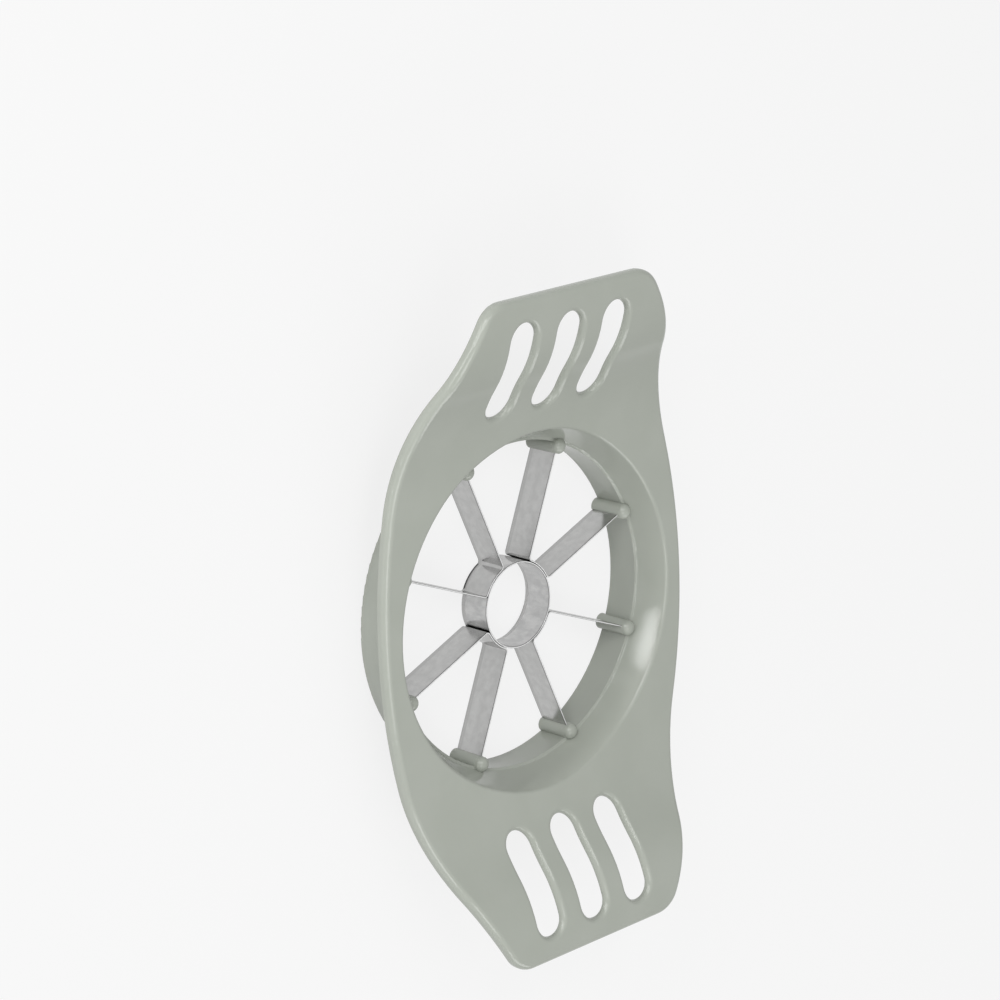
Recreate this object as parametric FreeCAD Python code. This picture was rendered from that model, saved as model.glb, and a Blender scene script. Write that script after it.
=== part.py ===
"""Apple slicer and corer: a one-piece moulded frame with two wing handles, four bent
steel strips that make eight blades, and a steel core ring that the strips are welded to.

Frame of the part: the slicer lies on its lower rim at z = 0, the ring's axis is +Z and
the two wings point along +X and -X.  All sizes are in millimetres.
"""
import FreeCAD, Part
import math
import os

# ---- ring that the fruit passes through ----
rim_inner_radius = 47.3      # inside of the lower band, at the rim
band_draft = 0.3             # the band narrows by this much up to the ledge
ledge_height = 10.3          # ledge above the rim
ledge_width = 0.7            # the small step between the band and the mouth
ledge_round = 0.25           # rounding of the ledge's inner edge
ledge_cove = 0.6             # hollow rounding where the ledge meets the mouth's wall
mouth_flare = 3.6            # how far the mouth opens above the ledge
rim_wall = 3.0               # wall of the band at the rim
band_outer_draft = 2.2       # the outside of the band widens by this much up to the plate
rim_round = 0.7              # rounding of the rim's outer edge
mouth_round = 1.3            # rounding where the mouth meets the plate

# ---- saddle plate with its two wings ----
plate_height = 19.0          # top of the level middle above the rim
plate_wall = 2.2
plate_border = 6.4           # plate beside the mouth at the middle
valley_inset = 12.3          # the level middle ends this far inside the mouth
valley_radius = 50.0         # hollow bend at the root of a wing
wing_rise = 18.4             # the wing tips stand this much higher than the middle
tip_level = 2.9              # level part at the end of a wing
tip_margin_side = 8.2        # plate beside the outer slots, measured at the wing's end
end_margin = 7.0             # plate between the slots and the wing's end
corner_radius = 9.0
lip_depth = 3.6              # depth of the turned-down edge
lip_width = 2.4              # width of the turned-down edge
edge_round = 1.9             # rounding of the plate's upper edge
lip_round = 0.7              # rounding of the lip's lower edge

# ---- slots in the wings ----
slots_per_wing = 3
slot_width = 9.5
slot_length = 27.9
slot_pitch = 17.3
slot_gap = 8.7               # plate between the mouth and the slots
slot_round = 1.5             # rounding of the slots' upper edge
slot_under_round = 0.3       # rounding of the slots' lower edge

# ---- blades: four strips, each bent into two blades and an arc ----
strip_count = 4
strip_thickness = 0.45
blade_bottom = 0.2           # cutting edges above the rim
blade_height = 10.1
bevel_height = 1.6           # ground part of the cutting edge
edge_thickness = 0.12        # what the grinding leaves
bend_radius = 0.9            # inside radius of the bend at a blade's root
core_outer_radius = 12.55    # outside of the core ring, which the arcs sit on
core_wall = 0.45
core_bevel_height = 1.2
weld_gap = 0.1               # between an arc and the core ring

# ---- posts that hold the blades' outer ends ----
post_radius = 2.3
post_inset = 1.2             # the posts' axes lie this far inside the band's wall
head_step = 0.08             # the head of a post, above the blade, is this much slimmer
head_rim = 1.0               # straight part of the head
head_dome = 1.4              # height of the dome on the head
blade_bite = 0.9             # how far a blade's end goes past the post's axis
slit_clearance = 0.03        # between a blade and its slit, each side

OVERSHOOT = 5.0              # how far cutting bodies reach past what they cut

# ---- sizes that follow from the ones above ----
blade_top = blade_bottom + blade_height
blade_step = 180.0 / strip_count
arc_outer_radius = core_outer_radius + weld_gap + strip_thickness
band_top_radius = rim_inner_radius - band_draft
ledge_radius = band_top_radius + ledge_width
mouth_radius = ledge_radius + mouth_flare
rim_outer_radius = rim_inner_radius + rim_wall
slot_start = mouth_radius + slot_gap
half_length = slot_start + slot_length + end_margin
half_width = mouth_radius + plate_border
valley_start = mouth_radius - valley_inset
crest_end = half_length - tip_level
tip_half_width = slot_pitch * (slots_per_wing - 1) / 2 + slot_width / 2 + tip_margin_side
post_axis_radius = rim_inner_radius - post_inset
blade_end_radius = post_axis_radius + blade_bite


def vec(x, y, z=0.0):
    return FreeCAD.Vector(x, y, z)


def polar(radius, degrees, z=0.0):
    turn = math.radians(degrees)
    return vec(radius * math.cos(turn), radius * math.sin(turn), z)


def line(start, end):
    return Part.LineSegment(start, end).toShape()


def arc(start, middle, end):
    return Part.Arc(start, middle, end).toShape()


def prism(edges, height):
    """Extrude a closed outline of edges by the vector height."""
    return Part.Face(Part.Wire(edges)).extrude(height)


def revolve(points):
    """Turn a closed outline of (radius, z) points about the Z axis."""
    corners = [vec(r, 0, z) for r, z in points]
    wire = Part.makePolygon(corners + corners[:1])
    return Part.Face(wire).revolve(vec(0, 0), vec(0, 0, 1), 360)


def turned(shape, degrees):
    """A copy of the shape, turned about the Z axis."""
    copy = shape.copy()
    copy.rotate(vec(0, 0), vec(0, 0, 1), degrees)
    return copy


# ---------------------------------------------------------------- plate
def side_arc_radius():
    """Radius of the plate's long side, which runs from the middle to the wing's end."""
    sagitta = half_width - tip_half_width
    return (half_length ** 2 + sagitta ** 2) / (2 * sagitta)


def outline(inset):
    """The plate's outline in plan, moved inwards by the inset: two long arcs, two
    straight ends and four rounded corners."""
    side = side_arc_radius()
    side_centre_y = half_width - side
    corner_x = half_length - corner_radius
    corner_y = side_centre_y + math.sqrt((side - corner_radius) ** 2 - corner_x ** 2)
    turn = math.degrees(math.atan2(corner_y - side_centre_y, corner_x))
    side_end = vec(0, side_centre_y) + polar(side - inset, turn)
    corner = vec(corner_x, corner_y)
    corner_mid = corner + polar(corner_radius - inset, turn / 2)
    corner_end = corner + polar(corner_radius - inset, 0)
    side_mid = vec(0, half_width - inset)

    def flip(point, sx, sy):
        return vec(point.x * sx, point.y * sy)

    return [
        arc(flip(side_end, -1, 1), side_mid, side_end),
        arc(side_end, corner_mid, corner_end),
        line(corner_end, flip(corner_end, 1, -1)),
        arc(flip(corner_end, 1, -1), flip(corner_mid, 1, -1), flip(side_end, 1, -1)),
        arc(flip(side_end, 1, -1), flip(side_mid, 1, -1), flip(side_end, -1, -1)),
        arc(flip(side_end, -1, -1), flip(corner_mid, -1, -1), flip(corner_end, -1, -1)),
        line(flip(corner_end, -1, -1), flip(corner_end, -1, 1)),
        arc(flip(corner_end, -1, 1), flip(corner_mid, -1, 1), flip(side_end, -1, 1)),
    ]


def crest():
    """Slope angle where a wing's two bends meet, and the radius of the upper one."""
    run = crest_end - valley_start
    slope = 2 * math.atan2(wing_rise, run)
    return slope, run / math.sin(slope) - valley_radius


def surface_points(depth):
    """Points of the saddle's section from the middle to past the tip, at a depth below
    its top: middle, start of the valley, on it, slope, on the crest, end of it, tip."""
    slope, crest_radius = crest()
    valley = vec(valley_start, 0, plate_height + valley_radius)
    top = vec(crest_end, 0, plate_height + wing_rise - crest_radius)

    def on_valley(turn):
        r = valley_radius + depth
        return valley + vec(r * math.sin(turn), 0, -r * math.cos(turn))

    def on_crest(turn):
        r = crest_radius - depth
        return top + vec(-r * math.sin(turn), 0, r * math.cos(turn))

    return [
        vec(0, 0, plate_height - depth),
        on_valley(0),
        on_valley(slope / 2),
        on_valley(slope),
        on_crest(slope / 2),
        on_crest(0),
        vec(half_length + OVERSHOOT, 0, plate_height + wing_rise - depth),
    ]


def section_edges(depth):
    """The saddle's section from tip to tip as lines and tangent arcs."""
    middle, v0, v1, v2, c1, c2, tip = surface_points(depth)

    def far(point):
        return vec(-point.x, 0, point.z)

    return [
        line(far(tip), far(c2)),
        arc(far(c2), far(c1), far(v2)),
        arc(far(v2), far(v1), far(v0)),
        line(far(v0), v0),
        arc(v0, v1, v2),
        arc(v2, c1, c2),
        line(c2, tip),
    ]


def saddle_layer(top_depth, bottom_depth):
    """Everything between two depths below the saddle's top, wider than the plate."""
    top = section_edges(top_depth)
    bottom = section_edges(bottom_depth)
    tip_top = surface_points(top_depth)[-1]
    tip_bottom = surface_points(bottom_depth)[-1]
    ends = [
        line(tip_top, tip_bottom),
        line(vec(-tip_top.x, 0, tip_top.z), vec(-tip_bottom.x, 0, tip_bottom.z)),
    ]
    wire = Part.Wire(Part.__sortEdges__(top + bottom + ends))
    width = half_width + OVERSHOOT
    layer = Part.Face(wire).extrude(vec(0, 2 * width, 0))
    layer.translate(vec(0, -width, 0))
    return layer


def plate_column(inset):
    """The plate's outline, drawn upwards through the whole height of the part."""
    height = plate_height + wing_rise + 2 * OVERSHOOT
    column = prism(outline(inset), vec(0, 0, height))
    column.translate(vec(0, 0, -OVERSHOOT))
    return column


def rim_edges(shape, above):
    """Edges around a saddle-shaped slab: the upper ones, or else the lower ones."""
    found = []
    for edge in shape.Edges:
        ends = edge.Vertexes
        if len(ends) == 2 and abs(ends[0].X - ends[1].X) + abs(ends[0].Y - ends[1].Y) < 1e-3:
            continue
        middle = edge.valueAt((edge.FirstParameter + edge.LastParameter) / 2)
        if abs(middle.y) < 1e-3 and abs(middle.x) < half_length - 1e-3:
            continue
        height = middle.z - surface_height(middle.x)
        if (height > -lip_depth / 2) == above:
            found.append(edge)
    return found


def surface_height(x):
    """Height of the saddle's top at a distance x from the ring's axis."""
    slope, crest_radius = crest()
    x = abs(x)
    if x < valley_start:
        return plate_height
    if x < valley_start + valley_radius * math.sin(slope):
        reach = x - valley_start
        return plate_height + valley_radius - math.sqrt(valley_radius ** 2 - reach ** 2)
    if x < crest_end:
        reach = crest_end - x
        return plate_height + wing_rise - crest_radius + math.sqrt(crest_radius ** 2 - reach ** 2)
    return plate_height + wing_rise


def saddle_shell():
    """The saddle plate with its turned-down, rounded lip."""
    slab = plate_column(0).common(saddle_layer(0, lip_depth))
    slab = slab.makeFillet(edge_round, rim_edges(slab, above=True))
    slab = slab.makeFillet(lip_round, rim_edges(slab, above=False))
    pocket = plate_column(lip_width).common(saddle_layer(plate_wall, lip_depth + OVERSHOOT))
    return slab.cut(pocket)


# ---------------------------------------------------------------- ring
def band():
    """Outer body of the ring, from the rim up into the plate."""
    widening = band_outer_draft / plate_height
    top = plate_height + wing_rise
    body = Part.makeCone(rim_outer_radius, rim_outer_radius + widening * top, top)
    rim = [edge for edge in body.Edges if edge.BoundBox.ZMax < rim_round]
    body = body.makeFillet(rim_round, rim)
    return body.cut(saddle_layer(-half_length, plate_wall / 2))


def mouth_wall_radius(height):
    """Radius of the flaring mouth at a height above the rim."""
    return ledge_radius + mouth_flare * (height - ledge_height) / (plate_height - ledge_height)


def passage():
    """The way through: the band, the ledge and the flaring mouth."""
    top = plate_height + wing_rise + OVERSHOOT
    below = rim_inner_radius + band_draft * OVERSHOOT / ledge_height
    return revolve([
        (0, -OVERSHOOT),
        (below, -OVERSHOOT),
        (band_top_radius, ledge_height),
        (ledge_radius, ledge_height),
        (mouth_wall_radius(top), top),
        (0, top),
    ])


def ledge_edges(shape, radius):
    """The circle of this radius around the ledge."""
    found = []
    for edge in shape.Edges:
        middle = edge.valueAt((edge.FirstParameter + edge.LastParameter) / 2)
        reach = math.hypot(middle.x, middle.y)
        flat = edge.BoundBox.ZLength < 0.01
        if flat and abs(reach - radius) < 0.01 and abs(middle.z - ledge_height) < 0.01:
            found.append(edge)
    return found


def mouth_edges(shape):
    """Edges where the mouth meets the plate's top."""
    found = []
    for edge in shape.Edges:
        middle = edge.valueAt((edge.FirstParameter + edge.LastParameter) / 2)
        reach = math.hypot(middle.x, middle.y)
        rise = middle.z - surface_height(middle.x)
        if abs(reach - mouth_wall_radius(middle.z)) < 0.01 and abs(rise) < 0.01:
            found.append(edge)
    return found


def blade_angles():
    """Where the eight blades stand, in degrees from +X."""
    return [blade_step * (n + 0.5) for n in range(2 * strip_count)]


def post():
    """One post on +X, with a straight shank and a domed head."""
    head_radius = post_radius - head_step
    shank = Part.makeCylinder(post_radius, blade_top)
    dome_radius = (head_radius ** 2 + head_dome ** 2) / (2 * head_dome)
    shoulder = blade_top + head_rim
    dome = Part.makeSphere(dome_radius, vec(0, 0, shoulder + head_dome - dome_radius))
    barrel = Part.makeCylinder(head_radius, head_rim + head_dome, vec(0, 0, blade_top))
    body = shank.fuse(dome.common(barrel)).removeSplitter()
    body.translate(vec(post_axis_radius, 0, 0))
    return body


def slit():
    """What a blade's end takes out of its post, on +X."""
    width = strip_thickness + 2 * slit_clearance
    inner = post_axis_radius - post_radius - OVERSHOOT
    length = blade_end_radius + slit_clearance - inner
    height = blade_top + slit_clearance + OVERSHOOT
    return Part.makeBox(length, width, height, vec(inner, -width / 2, -OVERSHOOT))


# ---------------------------------------------------------------- slots
def slot_rows():
    """The slots' middle lines, across the wing."""
    return [slot_pitch * (n - (slots_per_wing - 1) / 2) for n in range(slots_per_wing)]


def slot_cutter(side, y):
    """A slot with round ends, drawn upwards, in the wing at x = side."""
    r = slot_width / 2
    near = slot_start + r
    far = slot_start + slot_length - r
    height = plate_height + wing_rise + OVERSHOOT
    edges = [
        line(vec(near, y - r), vec(far, y - r)),
        arc(vec(far, y - r), vec(far + r, y), vec(far, y + r)),
        line(vec(far, y + r), vec(near, y + r)),
        arc(vec(near, y + r), vec(near - r, y), vec(near, y - r)),
    ]
    cutter = prism(edges, vec(0, 0, height))
    return turned(cutter, 0 if side > 0 else 180)


def slot_edges(shape, upper):
    """The upper or the lower edges around all slots."""
    found = []
    r = slot_width / 2
    for edge in shape.Edges:
        middle = edge.valueAt((edge.FirstParameter + edge.LastParameter) / 2)
        along = min(max(abs(middle.x), slot_start + r), slot_start + slot_length - r)
        off = min(math.hypot(abs(middle.x) - along, middle.y - y) for y in slot_rows())
        upright = edge.BoundBox.XLength + edge.BoundBox.YLength < 0.01
        if abs(off - r) > 0.01 or upright:
            continue
        if (surface_height(middle.x) - middle.z < plate_wall / 2) == upper:
            found.append(edge)
    return found


# ---------------------------------------------------------------- pieces
def make_frame():
    frame = saddle_shell().fuse(band())
    frame = frame.cut(passage())
    frame = frame.makeFillet(mouth_round, mouth_edges(frame))
    frame = frame.makeFillet(ledge_cove, ledge_edges(frame, ledge_radius))
    frame = frame.makeFillet(ledge_round, ledge_edges(frame, band_top_radius))
    cutters = [slot_cutter(side, y) for side in (1, -1) for y in slot_rows()]
    frame = frame.cut(cutters)
    frame = frame.makeFillet(slot_round, slot_edges(frame, upper=True))
    frame = frame.makeFillet(slot_under_round, slot_edges(frame, upper=False))
    posts = [turned(post(), angle) for angle in blade_angles()]
    slits = [turned(slit(), angle) for angle in blade_angles()]
    frame = frame.fuse(posts).cut(slits)
    return frame


def strip_outline(half_turn):
    """Plan of one bent strip that is centred on +X: along the first blade, round the
    bend onto the arc, and out along the second blade."""
    half = strip_thickness / 2
    bend_centre_reach = arc_outer_radius + bend_radius
    off_blade = half + bend_radius
    along = math.sqrt(bend_centre_reach ** 2 - off_blade ** 2)
    inner_arc_radius = arc_outer_radius - strip_thickness

    def at(u, w, side):
        """A point u out along a blade and w towards the strip's middle from it."""
        outwards = polar(1, side * half_turn)
        inwards = polar(1, side * (half_turn - 90))
        return outwards * u + inwards * w

    def bend(radius, side):
        """Where a bend's arc leaves the blade, its middle, and where it meets the ring."""
        centre = at(along, off_blade, side)
        blade_side = at(along, off_blade - radius, side)
        arc_side = centre * (1 - radius / centre.Length)
        middle_way = (blade_side + arc_side) * 0.5 - centre
        return blade_side, centre + middle_way * (radius / middle_way.Length), arc_side

    edges = []
    for radius, reach, w in (
        (bend_radius, arc_outer_radius, half),
        (bend_radius + strip_thickness, inner_arc_radius, -half),
    ):
        up_blade, up_mid, up_arc = bend(radius, 1)
        low_blade, low_mid, low_arc = bend(radius, -1)
        edges += [
            line(at(blade_end_radius, w, 1), up_blade),
            arc(up_blade, up_mid, up_arc),
            arc(up_arc, vec(reach, 0), low_arc),
            arc(low_arc, low_mid, low_blade),
            line(low_blade, at(blade_end_radius, w, -1)),
        ]
    for side in (1, -1):
        edges.append(line(at(blade_end_radius, half, side), at(blade_end_radius, -half, side)))
    return Part.__sortEdges__(edges)


def bevel():
    """What grinding takes off both sides of a blade that stands on +X."""
    half = strip_thickness / 2
    inner = arc_outer_radius + bend_radius
    wedges = []
    for side in (1, -1):
        corners = [
            vec(inner, side * edge_thickness / 2, blade_bottom),
            vec(inner, side * half, blade_bottom + bevel_height),
            vec(inner, side * (half + edge_thickness), blade_bottom + bevel_height),
            vec(inner, side * (half + edge_thickness), blade_bottom - edge_thickness),
            vec(inner, side * edge_thickness / 2, blade_bottom - edge_thickness),
        ]
        face = Part.Face(Part.makePolygon(corners + corners[:1]))
        wedges.append(face.extrude(vec(blade_end_radius + OVERSHOOT - inner, 0, 0)))
    return wedges


def make_strip(index):
    """One steel strip with two blades and the arc between them."""
    half_turn = blade_step / 2
    strip = prism(strip_outline(half_turn), vec(0, 0, blade_height))
    strip.translate(vec(0, 0, blade_bottom))
    cuts = [turned(wedge, side * half_turn) for side in (1, -1) for wedge in bevel()]
    strip = strip.cut(cuts)
    return turned(strip, 2 * blade_step * (index + 0.5))


def make_core_ring():
    """The short tube in the middle, ground on its inside at the lower edge."""
    inside = core_outer_radius - core_wall
    return revolve([
        (core_outer_radius, blade_bottom),
        (core_outer_radius, blade_top),
        (inside, blade_top),
        (inside, blade_bottom + core_bevel_height),
        (core_outer_radius - edge_thickness, blade_bottom),
    ])


def main():
    os.makedirs("parts", exist_ok=True)
    pieces = {"frame": make_frame(), "core_ring": make_core_ring()}
    for index in range(strip_count):
        pieces["blade_strip_%d" % (index + 1)] = make_strip(index)
    for name, shape in pieces.items():
        shape.exportStep("parts/%s.step" % name)
        box = shape.BoundBox
        print("%-14s solids %d valid %s volume %.0f  x %.2f..%.2f y %.2f..%.2f z %.2f..%.2f" % (
            name, len(shape.Solids), shape.isValid(), shape.Volume,
            box.XMin, box.XMax, box.YMin, box.YMax, box.ZMin, box.ZMax))


main()
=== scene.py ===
"""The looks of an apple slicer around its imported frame. Lengths are metres, in the frame's own axes."""

import math

import bpy
from mathutils import Matrix, Vector


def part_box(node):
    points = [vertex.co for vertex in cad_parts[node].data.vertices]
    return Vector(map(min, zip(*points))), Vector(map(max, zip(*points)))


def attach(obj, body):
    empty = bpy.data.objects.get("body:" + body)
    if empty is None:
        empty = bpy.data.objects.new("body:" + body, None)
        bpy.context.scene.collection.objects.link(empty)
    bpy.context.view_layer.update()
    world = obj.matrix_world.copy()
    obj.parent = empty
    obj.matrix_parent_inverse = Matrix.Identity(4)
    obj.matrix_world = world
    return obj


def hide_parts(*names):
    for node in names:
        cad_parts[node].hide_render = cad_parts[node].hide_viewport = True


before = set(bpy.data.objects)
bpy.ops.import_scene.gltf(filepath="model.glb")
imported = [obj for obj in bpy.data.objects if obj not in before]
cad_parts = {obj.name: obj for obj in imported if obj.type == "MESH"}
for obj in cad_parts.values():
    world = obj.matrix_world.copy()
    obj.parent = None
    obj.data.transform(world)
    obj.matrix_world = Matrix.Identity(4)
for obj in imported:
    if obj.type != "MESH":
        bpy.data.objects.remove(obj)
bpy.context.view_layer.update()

# ---------------------------------------------------------------- view
camera_place = Vector((0.2764, 0.5950, 0.6449))
camera_aim = Vector((0.0279, -0.0043, 0.0))
camera_roll = math.radians(103.6)
camera_lens = 116.7
sensor_width = 36.0
clip_near, clip_far = 0.05, 50.0

# ---------------------------------------------------------------- light
# Each lamp: degrees from +Y towards +X, degrees above the floor, degrees wide, degrees tall,
# brightness, shape. The low one is an ellipse, so that its highlight in the mouth tapers.
lamps = {
    "left_box": (42, 28, 32, 18, 4.9, "RECTANGLE"),
    "low_box": (25, 2.9, 38, 5.0, 15.0, "ELLIPSE"),
    "top_box": (338, 57, 32, 18, 3.4, "RECTANGLE"),
    "high_box": (62, 53, 32, 13, 4.0, "RECTANGLE"),
    "back_box": (267, 33, 50, 20, 2.6, "RECTANGLE"),
}
lamp_reach = 1.0                 # from the slicer
lamp_aim = Vector((0, 0, 0.015))
room_grey = 0.49                 # light from all round
floor_size = 12.0
floor_drop = 0.0002              # the floor lies this far below the rim
floor_glow = 0.8                 # share of plain white in the floor that the camera sees
floor_mirrored = 0.55            # and in the floor that shines back from the slicer

# ---------------------------------------------------------------- colours
plastic_dark = (0.366, 0.388, 0.344)
plastic_light = (0.384, 0.405, 0.362)
steel_dark = (0.545, 0.545, 0.54)
steel_light = (0.615, 0.615, 0.61)
core_dark = (0.54, 0.54, 0.54)
core_light = (0.67, 0.67, 0.665)
bevel_grey = (0.52, 0.52, 0.515)
# dark grey of the painted shade beside the sheared upper edges and along the ground edge, and of the torn
# line on the core ring
edge_shade_and_tear_grey = (0.20, 0.20, 0.20)
# near white of the sheared upper faces: a real rougher face, brightened to a painted highlight
shear_highlight_grey = (0.94, 0.94, 0.94)
# near-black painted as shade in the crevices where the strips meet the core ring
crevice_shade_grey = (0.03, 0.03, 0.03)
floor_white = (0.62, 0.62, 0.62)

# ---------------------------------------------------------------- finishes, marks per metre
plastic_clouds = 55.0
plastic_waves = 240.0
plastic_marks = 2600.0
plastic_relief = 0.000012
plastic_ior = 1.49
blade_grain = (5200.0, 160.0, 1.0)          # along the strip, and up it
bevel_grain = (300.0, 9000.0, 1.0)
blade_clouds = 420.0
blade_relief = 0.0000022
core_rolling = (110.0, 110.0, 4200.0)
core_smudges = (380.0, 380.0, 210.0)
core_ragged = (260.0, 260.0, 700.0)
core_relief = 0.000003
plastic_rough = 0.09             # roughness where no mark adds to it
blade_rough = 0.13
core_rough = 0.14
shear_rough = 0.65
grain_rough, cloud_rough = 0.10, 0.05       # what each kind of mark adds
rolled_rough, smudge_rough = 0.10, 0.08
blade_bevel_rough, core_bevel_rough = 0.04, 0.05
crevice_shade_rough = 0.3
edge_shade_share = 0.85                # how much of the painted edge shade shows
foot_shade_share = 0.8
torn_share = 0.8

# ---------------------------------------------------------------- plate
plate_top = 0.019                # top of the plate's level middle
edge_round = 0.0019              # rounding of the plate's upper edge
tip_half_width = 0.03025         # half width of the plate at a wing's end, but for its corners
level_reach = 0.039              # the level middle's half length
edge_cuts = 6                    # extra lines across a coarse face of the rounding
guide_sides, guide_steps = 96, 160
guide_extra = 0.001              # how far the guide runs on past the level middle
on_curve = 0.000005              # a vertex this near the rounding's curve lies on it
near_curve = 0.00005             # a new vertex is drawn onto the curve from this near
node_merge = 0.000002            # vertices of the node this close are one

# ---------------------------------------------------------------- steel strip
strip_count = 4
steel_wall = 0.00045
weld_gap = 0.0001                # between an arc and the core ring
bend_radius = 0.0009             # inside radius of the bend at a blade's root
bevel_height = 0.0016            # ground part of a blade's cutting edge
core_bevel_height = 0.0012
blade_bevel_wander, blade_bevel_blur = 0.0002, 0.0002   # how uneven and how soft its upper line is
core_bevel_wander, core_bevel_blur = 0.0004, 0.0003
edge_wall = 0.00012              # what the grinding leaves
shear_round = 0.00016            # rounding of the sheared upper edges
shear_top = 0.00002              # how far down the sheared face, with its painted highlight, reaches
shear_blur = 0.00001
edge_shade_drop = 0.00026              # how far down the painted shade beside it reaches
edge_shade_blur = 0.00006
foot_shade_width = 0.00030             # painted shade along the ground edge
tear_height = 0.0006             # torn line on the core ring, above its bevel
tear_width = 0.00016
tear_wander = 0.0009
crevice_shade_off_ring = 0.0004               # how far off the ring the strips are painted with crevice shade
crevice_shade_blur = 0.0001
crevice_shade_along_ring = 0.0008              # how far along the ring its painted crevice shade reaches
seam_gap = 0.00008               # where the core ring's ends meet
corner_steps, bend_steps, arc_steps, core_steps = 5, 8, 16, 112
touching = 1e-6                  # places this close are the same
strip_merge = 1e-7
smooth_angle = math.radians(30)


# ---------------------------------------------------------------- shader maths
class Value:
    """A shader socket that adds Math nodes when it is used in an expression."""

    def __init__(self, shader, socket):
        self.shader = shader
        self.socket = socket

    def math(self, operation, *others):
        sockets = dict(enumerate((self,) + others))
        return self.shader.node("ShaderNodeMath", {"operation": operation}, sockets)

    def __add__(self, other):
        return self.math("ADD", other)

    def __sub__(self, other):
        return self.math("SUBTRACT", other)

    def __rsub__(self, other):
        return (self * -1) + other

    def __mul__(self, other):
        return self.math("MULTIPLY", other)

    def __truediv__(self, other):
        return self.math("DIVIDE", other)

    __radd__ = __add__
    __rmul__ = __mul__


class Shader:
    """One material and the calls that add nodes to it."""

    def __init__(self, name):
        self.material = bpy.data.materials.new(name)
        self.material.use_nodes = True
        self.tree = self.material.node_tree
        self.tree.nodes.clear()

    def node(self, kind, settings=None, inputs=None, output=0):
        """Adds a node: its settings first, then the values or links of its sockets."""
        made = self.tree.nodes.new(kind)
        for name, value in (settings or {}).items():
            setattr(made, name, value)
        for name, value in (inputs or {}).items():
            if isinstance(value, Value):
                self.tree.links.new(value.socket, made.inputs[name])
            else:
                made.inputs[name].default_value = value
        return Value(self, made.outputs[output]) if made.outputs else made

    def surface(self, shader):
        self.node("ShaderNodeOutputMaterial", None, {"Surface": shader})
        return self.material


def noise(shader, vector, scale, detail=3.0, roughness=0.5):
    return shader.node("ShaderNodeTexNoise", None, {
        "Vector": vector, "Scale": scale, "Detail": detail, "Roughness": roughness,
    })


def stretch(shader, vector, scale):
    """The vector, each part of it times a number."""
    return shader.node("ShaderNodeVectorMath", {"operation": "MULTIPLY"}, {0: vector, 1: scale})


def part(shader, vector, index):
    """The x, y or z of a vector."""
    return shader.node("ShaderNodeSeparateXYZ", None, {"Vector": vector}, output=index)


def ramp(shader, value, low, high):
    """0 below low, 1 above high, and smooth between."""
    return shader.node("ShaderNodeMapRange", {"interpolation_type": "SMOOTHSTEP"}, {
        "Value": value, "From Min": low, "From Max": high,
    })


def blend(shader, factor, first, second):
    """A colour between two, each a colour's numbers or a socket."""
    return shader.node("ShaderNodeMix", {"data_type": "RGBA"}, {
        "Factor": factor,
        6: first if isinstance(first, Value) else (*first, 1),
        7: second if isinstance(second, Value) else (*second, 1),
    }, output=2)


def line(shader, value, middle, half_width):
    """1 in the middle of a thin line and 0 past its sides."""
    return (1 - (value - middle).math("ABSOLUTE") / half_width).math("MAXIMUM", 0.0)


def flat(shader, place):
    """The place, seen along the ring's axis."""
    return stretch(shader, place, (1.0, 1.0, 0.0))


def off_axis(shader, place):
    """The distance from the ring's axis."""
    return shader.node("ShaderNodeVectorMath", {"operation": "LENGTH"}, {0: flat(shader, place)}, output=1)


def bump(shader, height, depth):
    """Normals for a relief: heights of 0 to 1 stand for the depth in metres."""
    return shader.node("ShaderNodeBump", None, {"Height": height, "Strength": 1.0, "Distance": depth})


def upper_edge(shader, up):
    """The sheared upper edge at a height: its sheared face, brightened to a painted highlight, the
    line of painted shade beside it, and where the steel lies below its rounding. Each is 0 to 1."""
    top = steel_high - shear_top
    shear_highlight = ramp(shader, up, top - shear_blur, top + shear_blur)
    edge_shade = ramp(shader, up, steel_high - edge_shade_drop, steel_high - edge_shade_drop + edge_shade_blur)
    below = 1 - ramp(shader, up, steel_high - 1.5 * shear_round, steel_high - shear_round)
    return shear_highlight, edge_shade, below


def steel_surface(shader, colour, rough, marks):
    body = shader.node("ShaderNodeBsdfPrincipled", None, {
        "Base Color": colour, "Metallic": 1.0, "Roughness": rough, "Normal": marks,
    })
    return shader.surface(body)


# ---------------------------------------------------------------- materials
def plastic():
    """Sage grey moulded plastic with a half gloss: faint clouds of pigment, a very slight
    waviness that breaks up the highlights, and the fine marks of a polished mould."""
    shader = Shader("sage_plastic")
    place = shader.node("ShaderNodeTexCoord", output="Object")
    cloud = noise(shader, place, plastic_clouds, 4.0)
    wave = noise(shader, place, plastic_waves, 2.0)
    fine = noise(shader, place, plastic_marks, 2.0)
    body = shader.node("ShaderNodeBsdfPrincipled", None, {
        "Base Color": blend(shader, ramp(shader, cloud, 0.3, 0.7), plastic_dark, plastic_light),
        "Roughness": cloud * 0.05 + fine * 0.04 + plastic_rough,
        "IOR": plastic_ior,
        "Normal": bump(shader, wave * 0.9 + fine * 0.1, plastic_relief),
    })
    return shader.surface(body)


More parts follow.
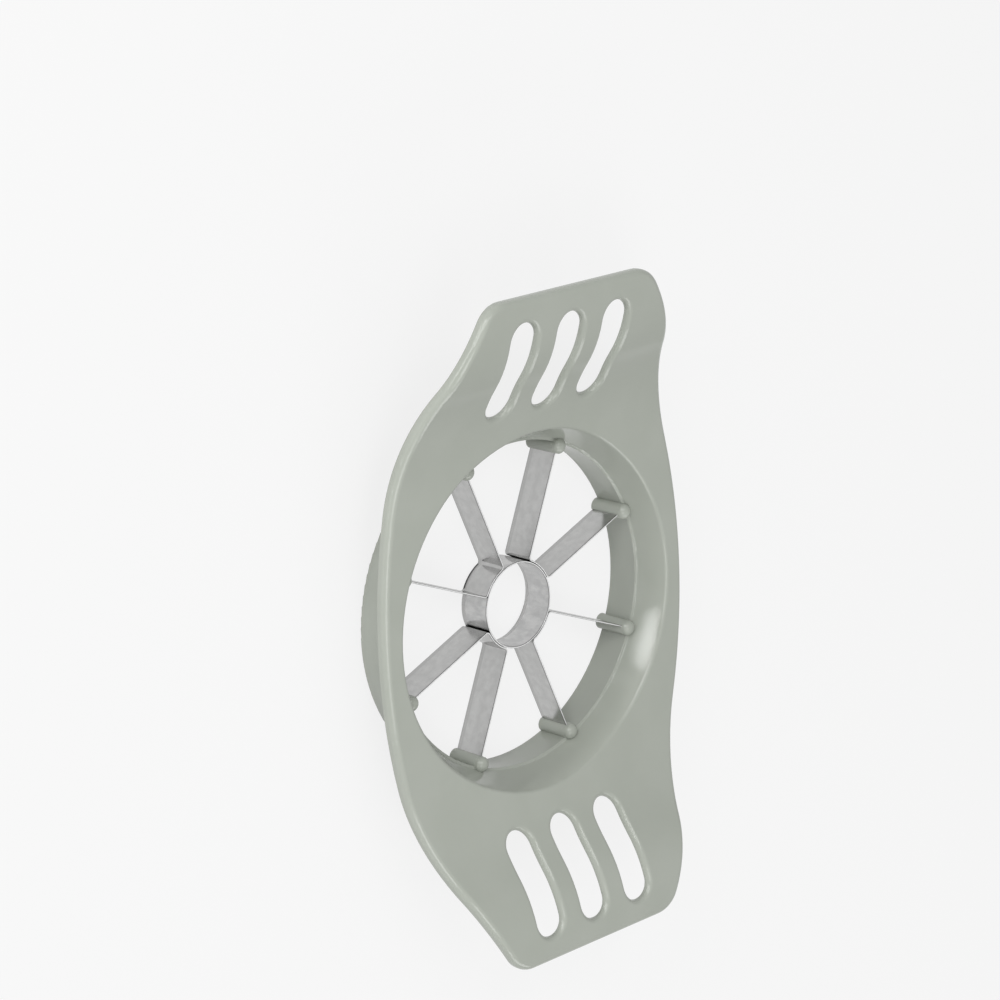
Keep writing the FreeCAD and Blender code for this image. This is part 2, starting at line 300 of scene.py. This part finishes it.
def blade_steel():
    """Satin stainless strip: grain across the strip, clouds of handling, a duller ground bevel
    with its own marks and a line of painted shade along its foot, the sheared upper edge
    brightened to a painted highlight with a line of painted shade beside it, and painted shade
    in the crevice where the strip lies close to the core ring."""
    shader = Shader("satin_blade_steel")
    strip = shader.node("ShaderNodeUVMap", {"uv_map": "strip"})
    place = shader.node("ShaderNodeTexCoord", output="Object")
    up = part(shader, strip, 1)
    grain = noise(shader, stretch(shader, strip, blade_grain), 1.0, 3.0, 0.6)
    ground = noise(shader, stretch(shader, strip, bevel_grain), 1.0, 2.0)
    cloud = noise(shader, strip, blade_clouds, 3.0)
    bevel_top = steel_low + bevel_height
    bevel = 1 - ramp(shader, up + cloud * blade_bevel_wander, bevel_top, bevel_top + blade_bevel_blur)
    shear_highlight, edge_shade, below = upper_edge(shader, up)
    # a line of painted shade along the ground edge
    foot = line(shader, up, steel_low, foot_shade_width)
    # painted shade on the strip where it lies close to the core ring, in the crevice between them
    crevice_shade_radius = ring_radius + crevice_shade_off_ring
    crevice_shade = (1 - ramp(shader, off_axis(shader, place), crevice_shade_radius, crevice_shade_radius + crevice_shade_blur)) * below

    face = blend(shader, ramp(shader, cloud, 0.25, 0.75), steel_dark, steel_light)
    face = blend(shader, bevel, face, bevel_grey)
    # painted shade beside the upper edge and along the ground edge
    face = blend(shader, (edge_shade + foot * foot_shade_share).math("MINIMUM", 1.0) * edge_shade_share, face, edge_shade_and_tear_grey)
    # the sheared face, brightened to a painted highlight
    colour = blend(shader, crevice_shade, blend(shader, shear_highlight, face, shear_highlight_grey), crevice_shade_grey)
    satin = grain * grain_rough + cloud * cloud_rough + blade_rough
    rough = satin * (1 - shear_highlight) + shear_highlight * shear_rough + bevel * blade_bevel_rough + crevice_shade * crevice_shade_rough
    marks = bump(shader, grain * (1 - bevel) + ground * bevel, blade_relief)
    return steel_surface(shader, colour, rough, marks)


def core_steel():
    """The ring's strip: rolling lines around it, smudges, a duller ground bevel with a torn
    line above it, the upper edge's sheared face brightened to a painted highlight with a line of
    painted shade beside it, and painted shade outside, under the arcs and where their bends meet it."""
    shader = Shader("rolled_core_steel")
    place = shader.node("ShaderNodeTexCoord", output="Object")
    up = part(shader, place, 2)
    rolled = noise(shader, stretch(shader, place, core_rolling), 1.0, 3.0, 0.6)
    smudge = noise(shader, stretch(shader, place, core_smudges), 1.0, 4.0, 0.6)
    ragged = noise(shader, stretch(shader, place, core_ragged), 1.0, 3.0, 0.6)
    bevel_top = steel_low + core_bevel_height
    bevel = 1 - ramp(shader, up + ragged * core_bevel_wander, bevel_top, bevel_top + core_bevel_blur)
    tear = line(shader, up + ragged * tear_wander, bevel_top + tear_height, tear_width)
    shear_highlight, edge_shade, below = upper_edge(shader, up)

    turn = shader.node("ShaderNodeVectorMath", {"operation": "NORMALIZE"}, {0: flat(shader, place)})
    x = part(shader, turn, 0).math("ABSOLUTE")
    y = part(shader, turn, 1).math("ABSOLUTE")
    aside = x.math("MINIMUM", y).math("ARCSINE") * ring_radius      # from the middle of a bare stretch
    touch = (half_turn + bend_turn) * ring_radius
    # painted shade on the ring's outside, under the arcs and beside where their bends touch it
    outside = ramp(shader, off_axis(shader, place),
                   ring_radius - steel_wall * 0.5, ring_radius - steel_wall * 0.2)
    crevice_shade = ramp(shader, aside, touch - crevice_shade_along_ring, touch - crevice_shade_along_ring * 0.8) * outside * below

    face = blend(shader, ramp(shader, smudge, 0.35, 0.68), core_dark, core_light)
    face = blend(shader, bevel, face, bevel_grey)
    torn = tear * ramp(shader, smudge, 0.4, 0.55) * torn_share
    # the torn line, and painted shade beside the upper edge
    face = blend(shader, torn.math("MAXIMUM", edge_shade * edge_shade_share), face, edge_shade_and_tear_grey)
    # the sheared face, brightened to a painted highlight
    colour = blend(shader, crevice_shade, blend(shader, shear_highlight, face, shear_highlight_grey), crevice_shade_grey)
    satin = rolled * rolled_rough + smudge * smudge_rough + core_rough
    rough = satin * (1 - shear_highlight) + shear_highlight * shear_rough + bevel * core_bevel_rough + crevice_shade * crevice_shade_rough
    marks = bump(shader, rolled * 0.7 + smudge * 0.3, core_relief)
    return steel_surface(shader, colour, rough, marks)


# ---------------------------------------------------------------- modelling
def edit(turn_on):
    bpy.ops.object.mode_set(mode="EDIT" if turn_on else "OBJECT")


def pick(kind, test):
    """Selects the vertices or edges whose middle passes the test."""
    bpy.ops.mesh.select_mode(type=kind)
    bpy.ops.mesh.select_all(action="DESELECT")
    edit(False)
    mesh = bpy.context.object.data
    if kind == "VERT":
        for vertex in mesh.vertices:
            vertex.select = test(vertex.co)
    else:
        for edge in mesh.edges:
            ends = [mesh.vertices[v].co for v in edge.vertices]
            edge.select = test(sum(ends, Vector()) / len(ends))
    edit(True)


def start_section(name, axis, reach, width, low, high):
    """A flat upright section across the X or the Y axis, at x = reach, left in edit mode."""
    quarter = math.pi / 2
    bpy.ops.object.select_all(action="DESELECT")
    bpy.ops.mesh.primitive_plane_add(size=1, rotation=(0, quarter, 0) if axis == "X" else (quarter, 0, 0))
    bpy.ops.object.transform_apply(location=False, rotation=True, scale=False)
    piece = bpy.context.object
    piece.name = name
    edit(True)
    bpy.ops.mesh.select_all(action="SELECT")
    size = (1, width, high - low) if axis == "X" else (width, 1, high - low)
    bpy.ops.transform.resize(value=size, center_override=(0, 0, 0))
    bpy.ops.transform.translate(value=(reach, 0, (low + high) / 2))
    return piece


def turn_about_axis(angle):
    """Turns the whole mesh about the ring's axis, anticlockwise where the angle is above 0."""
    bpy.ops.mesh.select_all(action="SELECT")
    bpy.ops.transform.rotate(value=-angle, orient_axis="Z", center_override=(0, 0, 0))


def grind(depth, centre, axis):
    """Draws the section's lower edge down by the depth and narrows it towards the centre."""
    foot = centre.z + depth
    pick("EDGE", lambda place: place.z < foot + touching)
    bpy.ops.mesh.extrude_edges_move(TRANSFORM_OT_translate={"value": (0, 0, -depth)})
    thin = edge_wall / steel_wall
    bpy.ops.transform.resize(value=(1, thin, 1) if axis == "X" else (thin, 1, 1), center_override=centre)


def round_corners(height):
    """Rounds the section's corners at a height, as shearing leaves them."""
    pick("VERT", lambda place: abs(place.z - height) < touching)
    bpy.ops.mesh.bevel(offset=shear_round, segments=corner_steps, affect="VERTICES")
    bpy.ops.mesh.select_all(action="SELECT")


def sweep(angle, centre, steps):
    """Turns what is selected about an upright line, anticlockwise where the angle is above 0."""
    bpy.ops.mesh.spin(steps=steps, angle=angle, center=centre, axis=(0, 0, -1))


def finish_piece(piece):
    """Closes the mesh's seams, turns its faces outwards and leaves edit mode."""
    bpy.ops.mesh.select_all(action="SELECT")
    bpy.ops.mesh.remove_doubles(threshold=strip_merge)
    bpy.ops.mesh.normals_make_consistent(inside=False)
    edit(False)
    bpy.ops.object.shade_smooth_by_angle(angle=smooth_angle)
    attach(piece, "root")


def apply_modifier(piece, kind, **settings):
    modifier = piece.modifiers.new(kind.lower(), kind)
    for name, value in settings.items():
        setattr(modifier, name, value)
    bpy.ops.object.modifier_apply(modifier=modifier.name)


def dress(piece, material):
    """Gives a piece its material, in place of any that it came with."""
    if not piece.material_slots:
        piece.data.materials.append(material)
    for entry in piece.material_slots:
        entry.material = material


# ---------------------------------------------------------------- blades and core
core_low, core_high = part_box("core_ring")
ring_radius = core_high.x
steel_low, steel_high = core_low.z, core_high.z
half_turn = math.pi / strip_count / 2
arc_radius = ring_radius + weld_gap + steel_wall          # outside of an arc
strip_high_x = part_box("blade_strip_1")[1].x
blade_end = (strip_high_x - steel_wall / 2 * math.sin(half_turn)) / math.cos(half_turn)
off_blade = steel_wall / 2 + bend_radius                   # from a blade's middle to its bend's middle
bend_turn = math.asin(off_blade / (arc_radius + bend_radius))   # where a bend runs into the arc


def strip_map(piece):
    """Unrolls the strip: along it from the arc's middle, and up it, in metres."""
    layer = piece.data.uv_layers.active
    layer.name = "strip"
    for loop in piece.data.loops:
        place = piece.data.vertices[loop.vertex_index].co
        turn = math.atan2(place.y, place.x) - half_turn
        along = min(abs(turn), half_turn) * arc_radius + max(place.xy.length - arc_radius, 0)
        layer.data[loop.index].uv = (math.copysign(along, turn), place.z)


def make_strip(index):
    """Two blades and the arc between them: a ground section, extruded and bent as the strip is."""
    along = math.sqrt((arc_radius + bend_radius) ** 2 - off_blade ** 2)
    length = blade_end - along
    bend = bend_turn - math.pi / 2
    second_blade = Matrix.Rotation(2 * half_turn, 3, "Z")
    strip = start_section("blade_pair_%d" % (index + 1), "X", blade_end, steel_wall,
                          steel_low + bevel_height, steel_high)
    grind(bevel_height, Vector((blade_end, 0, steel_low)), "X")
    round_corners(steel_high)
    bpy.ops.mesh.extrude_region_move(TRANSFORM_OT_translate={"value": (-length, 0, 0)})
    sweep(bend, (along, off_blade, 0), bend_steps)
    sweep(2 * half_turn - 2 * bend_turn, (0, 0, 0), arc_steps)
    sweep(bend, second_blade @ Vector((along, -off_blade, 0)), bend_steps)
    outwards = second_blade @ Vector((length, 0, 0))
    bpy.ops.mesh.extrude_region_move(TRANSFORM_OT_translate={"value": outwards})
    finish_piece(strip)
    strip_map(strip)
    edit(True)
    turn_about_axis((4 * index + 1) * half_turn)
    edit(False)
    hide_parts("blade_strip_%d" % (index + 1))
    return strip


def make_core():
    """The core ring: a section ground on its inside, rolled round to a butt seam under an arc."""
    core = start_section("core_band", "Y", ring_radius - steel_wall / 2, steel_wall,
                         steel_low + core_bevel_height, steel_high)
    grind(core_bevel_height, Vector((ring_radius, 0, steel_low)), "Y")
    round_corners(steel_high)
    seam = seam_gap / ring_radius
    turn_about_axis(2 * half_turn + seam / 2)
    sweep(2 * math.pi - seam, (0, 0, 0), core_steps)
    finish_piece(core)
    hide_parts("core_ring")
    return core


# ---------------------------------------------------------------- moulding
frame_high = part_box("frame")[1]
side_drop = frame_high.y - tip_half_width
side_radius = (frame_high.x ** 2 + side_drop ** 2) / (2 * side_drop)     # of the plate's long sides
side_centre = frame_high.y - side_radius
round_radius = side_radius - edge_round                                  # of the rounding's middle line
round_height = plate_top - edge_round


def on_rounding(place, slack):
    """Whether a place is on the rounded upper edge beside the level middle."""
    if abs(place.x) > level_reach - near_curve or place.z < round_height - on_curve:
        return False
    return math.hypot(place.x, abs(place.y) - side_centre) > round_radius - slack


def edge_guide():
    """Two tubes that have the rounding's true curve, one along each side of the plate."""
    half = math.asin((level_reach + guide_extra) / side_radius)
    middle = (0, side_centre, 0)
    bpy.ops.object.select_all(action="DESELECT")
    bpy.ops.mesh.primitive_circle_add(vertices=guide_sides, radius=edge_round, rotation=(0, math.pi / 2, 0))
    bpy.ops.object.transform_apply(location=False, rotation=True, scale=False)
    guide = bpy.context.object
    guide.name = "edge_guide"
    edit(True)
    bpy.ops.mesh.select_all(action="SELECT")
    bpy.ops.transform.translate(value=(0, side_centre + round_radius, round_height))
    bpy.ops.transform.rotate(value=half, orient_axis="Z", center_override=middle)
    sweep(2 * half, middle, guide_steps)
    bpy.ops.mesh.select_all(action="SELECT")
    bpy.ops.mesh.duplicate()
    bpy.ops.transform.rotate(value=math.pi, orient_axis="Z", center_override=(0, 0, 0))
    edit(False)
    return guide


def copy_node(name, node):
    """A merged copy of a CAD node, active and in edit mode, with nothing selected."""
    copy = bpy.data.objects.new(name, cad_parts[node].data.copy())
    bpy.context.scene.collection.objects.link(copy)
    bpy.ops.object.select_all(action="DESELECT")
    copy.select_set(True)
    bpy.context.view_layer.objects.active = copy
    bpy.ops.mesh.customdata_custom_splitnormals_clear()
    edit(True)
    bpy.ops.mesh.select_all(action="SELECT")
    bpy.ops.mesh.remove_doubles(threshold=node_merge)
    bpy.ops.mesh.select_mode(type="FACE")
    bpy.ops.mesh.select_all(action="DESELECT")
    return copy


def make_moulding():
    """The moulding: a merged copy of its node, with the coarse faces of the plate's rounded edge
    subdivided and drawn onto the true curve."""
    guide = edge_guide()
    shell = copy_node("moulding", "frame")
    edit(False)
    mesh = shell.data
    for face in mesh.polygons:
        face.select = all(on_rounding(mesh.vertices[v].co, on_curve) for v in face.vertices)
    edit(True)
    bpy.ops.mesh.subdivide(number_cuts=edge_cuts)
    pick("VERT", lambda place: on_rounding(place, near_curve))
    group = shell.vertex_groups.new(name="rounding")
    bpy.ops.object.vertex_group_assign()
    edit(False)
    apply_modifier(shell, "SHRINKWRAP", target=guide, vertex_group=group.name)
    bpy.ops.object.shade_smooth_by_angle(angle=smooth_angle)
    apply_modifier(shell, "WEIGHTED_NORMAL", keep_sharp=True)
    bpy.data.objects.remove(guide)
    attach(shell, "root")
    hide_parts("frame")
    return shell


# ---------------------------------------------------------------- stage
def make_floor():
    """A plain white floor that keeps the slicer's shadow."""
    bpy.ops.mesh.primitive_plane_add(size=floor_size, location=(0, 0, -floor_drop))
    floor = bpy.context.object
    floor.name = "floor"
    shader = Shader("floor_white")
    ray = shader.node("ShaderNodeLightPath", output="Is Camera Ray")
    glossy = shader.node("ShaderNodeLightPath", output="Is Glossy Ray")
    through = shader.node("ShaderNodeLightPath", output="Is Transmission Ray")
    seen = (ray * floor_glow + (glossy + through) * floor_mirrored).math("MINIMUM", 1.0)
    matt = shader.node("ShaderNodeBsdfDiffuse", None, {"Color": (*floor_white, 1)})
    glow = shader.node("ShaderNodeEmission", None, {"Color": (1, 1, 1, 1), "Strength": 1.0})
    mixed = shader.node("ShaderNodeMixShader", None, {0: seen, 1: matt, 2: glow})
    floor.data.materials.append(shader.surface(mixed))


def make_world():
    """Soft light from all round, behind a plain white backdrop."""
    world = bpy.data.worlds.new("studio")
    bpy.context.scene.world = world
    world.use_nodes = True
    tree = world.node_tree
    tree.nodes.clear()
    ray = tree.nodes.new("ShaderNodeLightPath")
    lit = tree.nodes.new("ShaderNodeBackground")
    lit.inputs["Color"].default_value = (room_grey, room_grey, room_grey, 1)
    seen = tree.nodes.new("ShaderNodeBackground")
    seen.inputs["Color"].default_value = (1, 1, 1, 1)
    mix = tree.nodes.new("ShaderNodeMixShader")
    out = tree.nodes.new("ShaderNodeOutputWorld")
    tree.links.new(ray.outputs["Is Camera Ray"], mix.inputs[0])
    tree.links.new(lit.outputs[0], mix.inputs[1])
    tree.links.new(seen.outputs[0], mix.inputs[2])
    tree.links.new(mix.outputs[0], out.inputs[0])


def around(turn, height, reach):
    """A place around the slicer: degrees from +Y towards +X, degrees above the floor, metres."""
    turn, height = math.radians(turn), math.radians(height)
    level = reach * math.cos(height)
    return Vector((level * math.sin(turn), level * math.cos(turn), reach * math.sin(height)))


def make_lamps():
    """Soft boxes around the slicer. The low one draws the bright streak in the mouth."""
    for name, (turn, height, wide, tall, level, shape) in lamps.items():
        lamp = bpy.data.lights.new(name, "AREA")
        lamp.shape = shape
        lamp.size = 2 * lamp_reach * math.tan(math.radians(wide / 2))
        lamp.size_y = 2 * lamp_reach * math.tan(math.radians(tall / 2))
        filled = math.pi / 4 if shape == "ELLIPSE" else 1.0
        lamp.energy = math.pi * level * lamp.size * lamp.size_y * filled
        obj = bpy.data.objects.new(name, lamp)
        bpy.context.scene.collection.objects.link(obj)
        obj.location = around(turn, height, lamp_reach)
        obj.rotation_mode = "QUATERNION"
        obj.rotation_quaternion = (lamp_aim - obj.location).to_track_quat("-Z", "Y")


def make_camera():
    data = bpy.data.cameras.new("camera")
    data.lens = camera_lens
    data.sensor_width = sensor_width
    data.clip_start, data.clip_end = clip_near, clip_far
    camera = bpy.data.objects.new("camera", data)
    bpy.context.scene.collection.objects.link(camera)
    turn = (camera_aim - camera_place).to_track_quat("-Z", "Y").to_matrix()
    turn = turn @ Matrix.Rotation(camera_roll, 3, "Z")
    camera.matrix_world = Matrix.Translation(camera_place) @ turn.to_4x4()
    bpy.context.scene.camera = camera


make_floor()
make_world()
make_lamps()
make_camera()
bpy.context.scene.view_settings.view_transform = "Standard"

dress(make_moulding(), plastic())
blade_metal = blade_steel()
for index in range(strip_count):
    dress(make_strip(index), blade_metal)
dress(make_core(), core_steel())
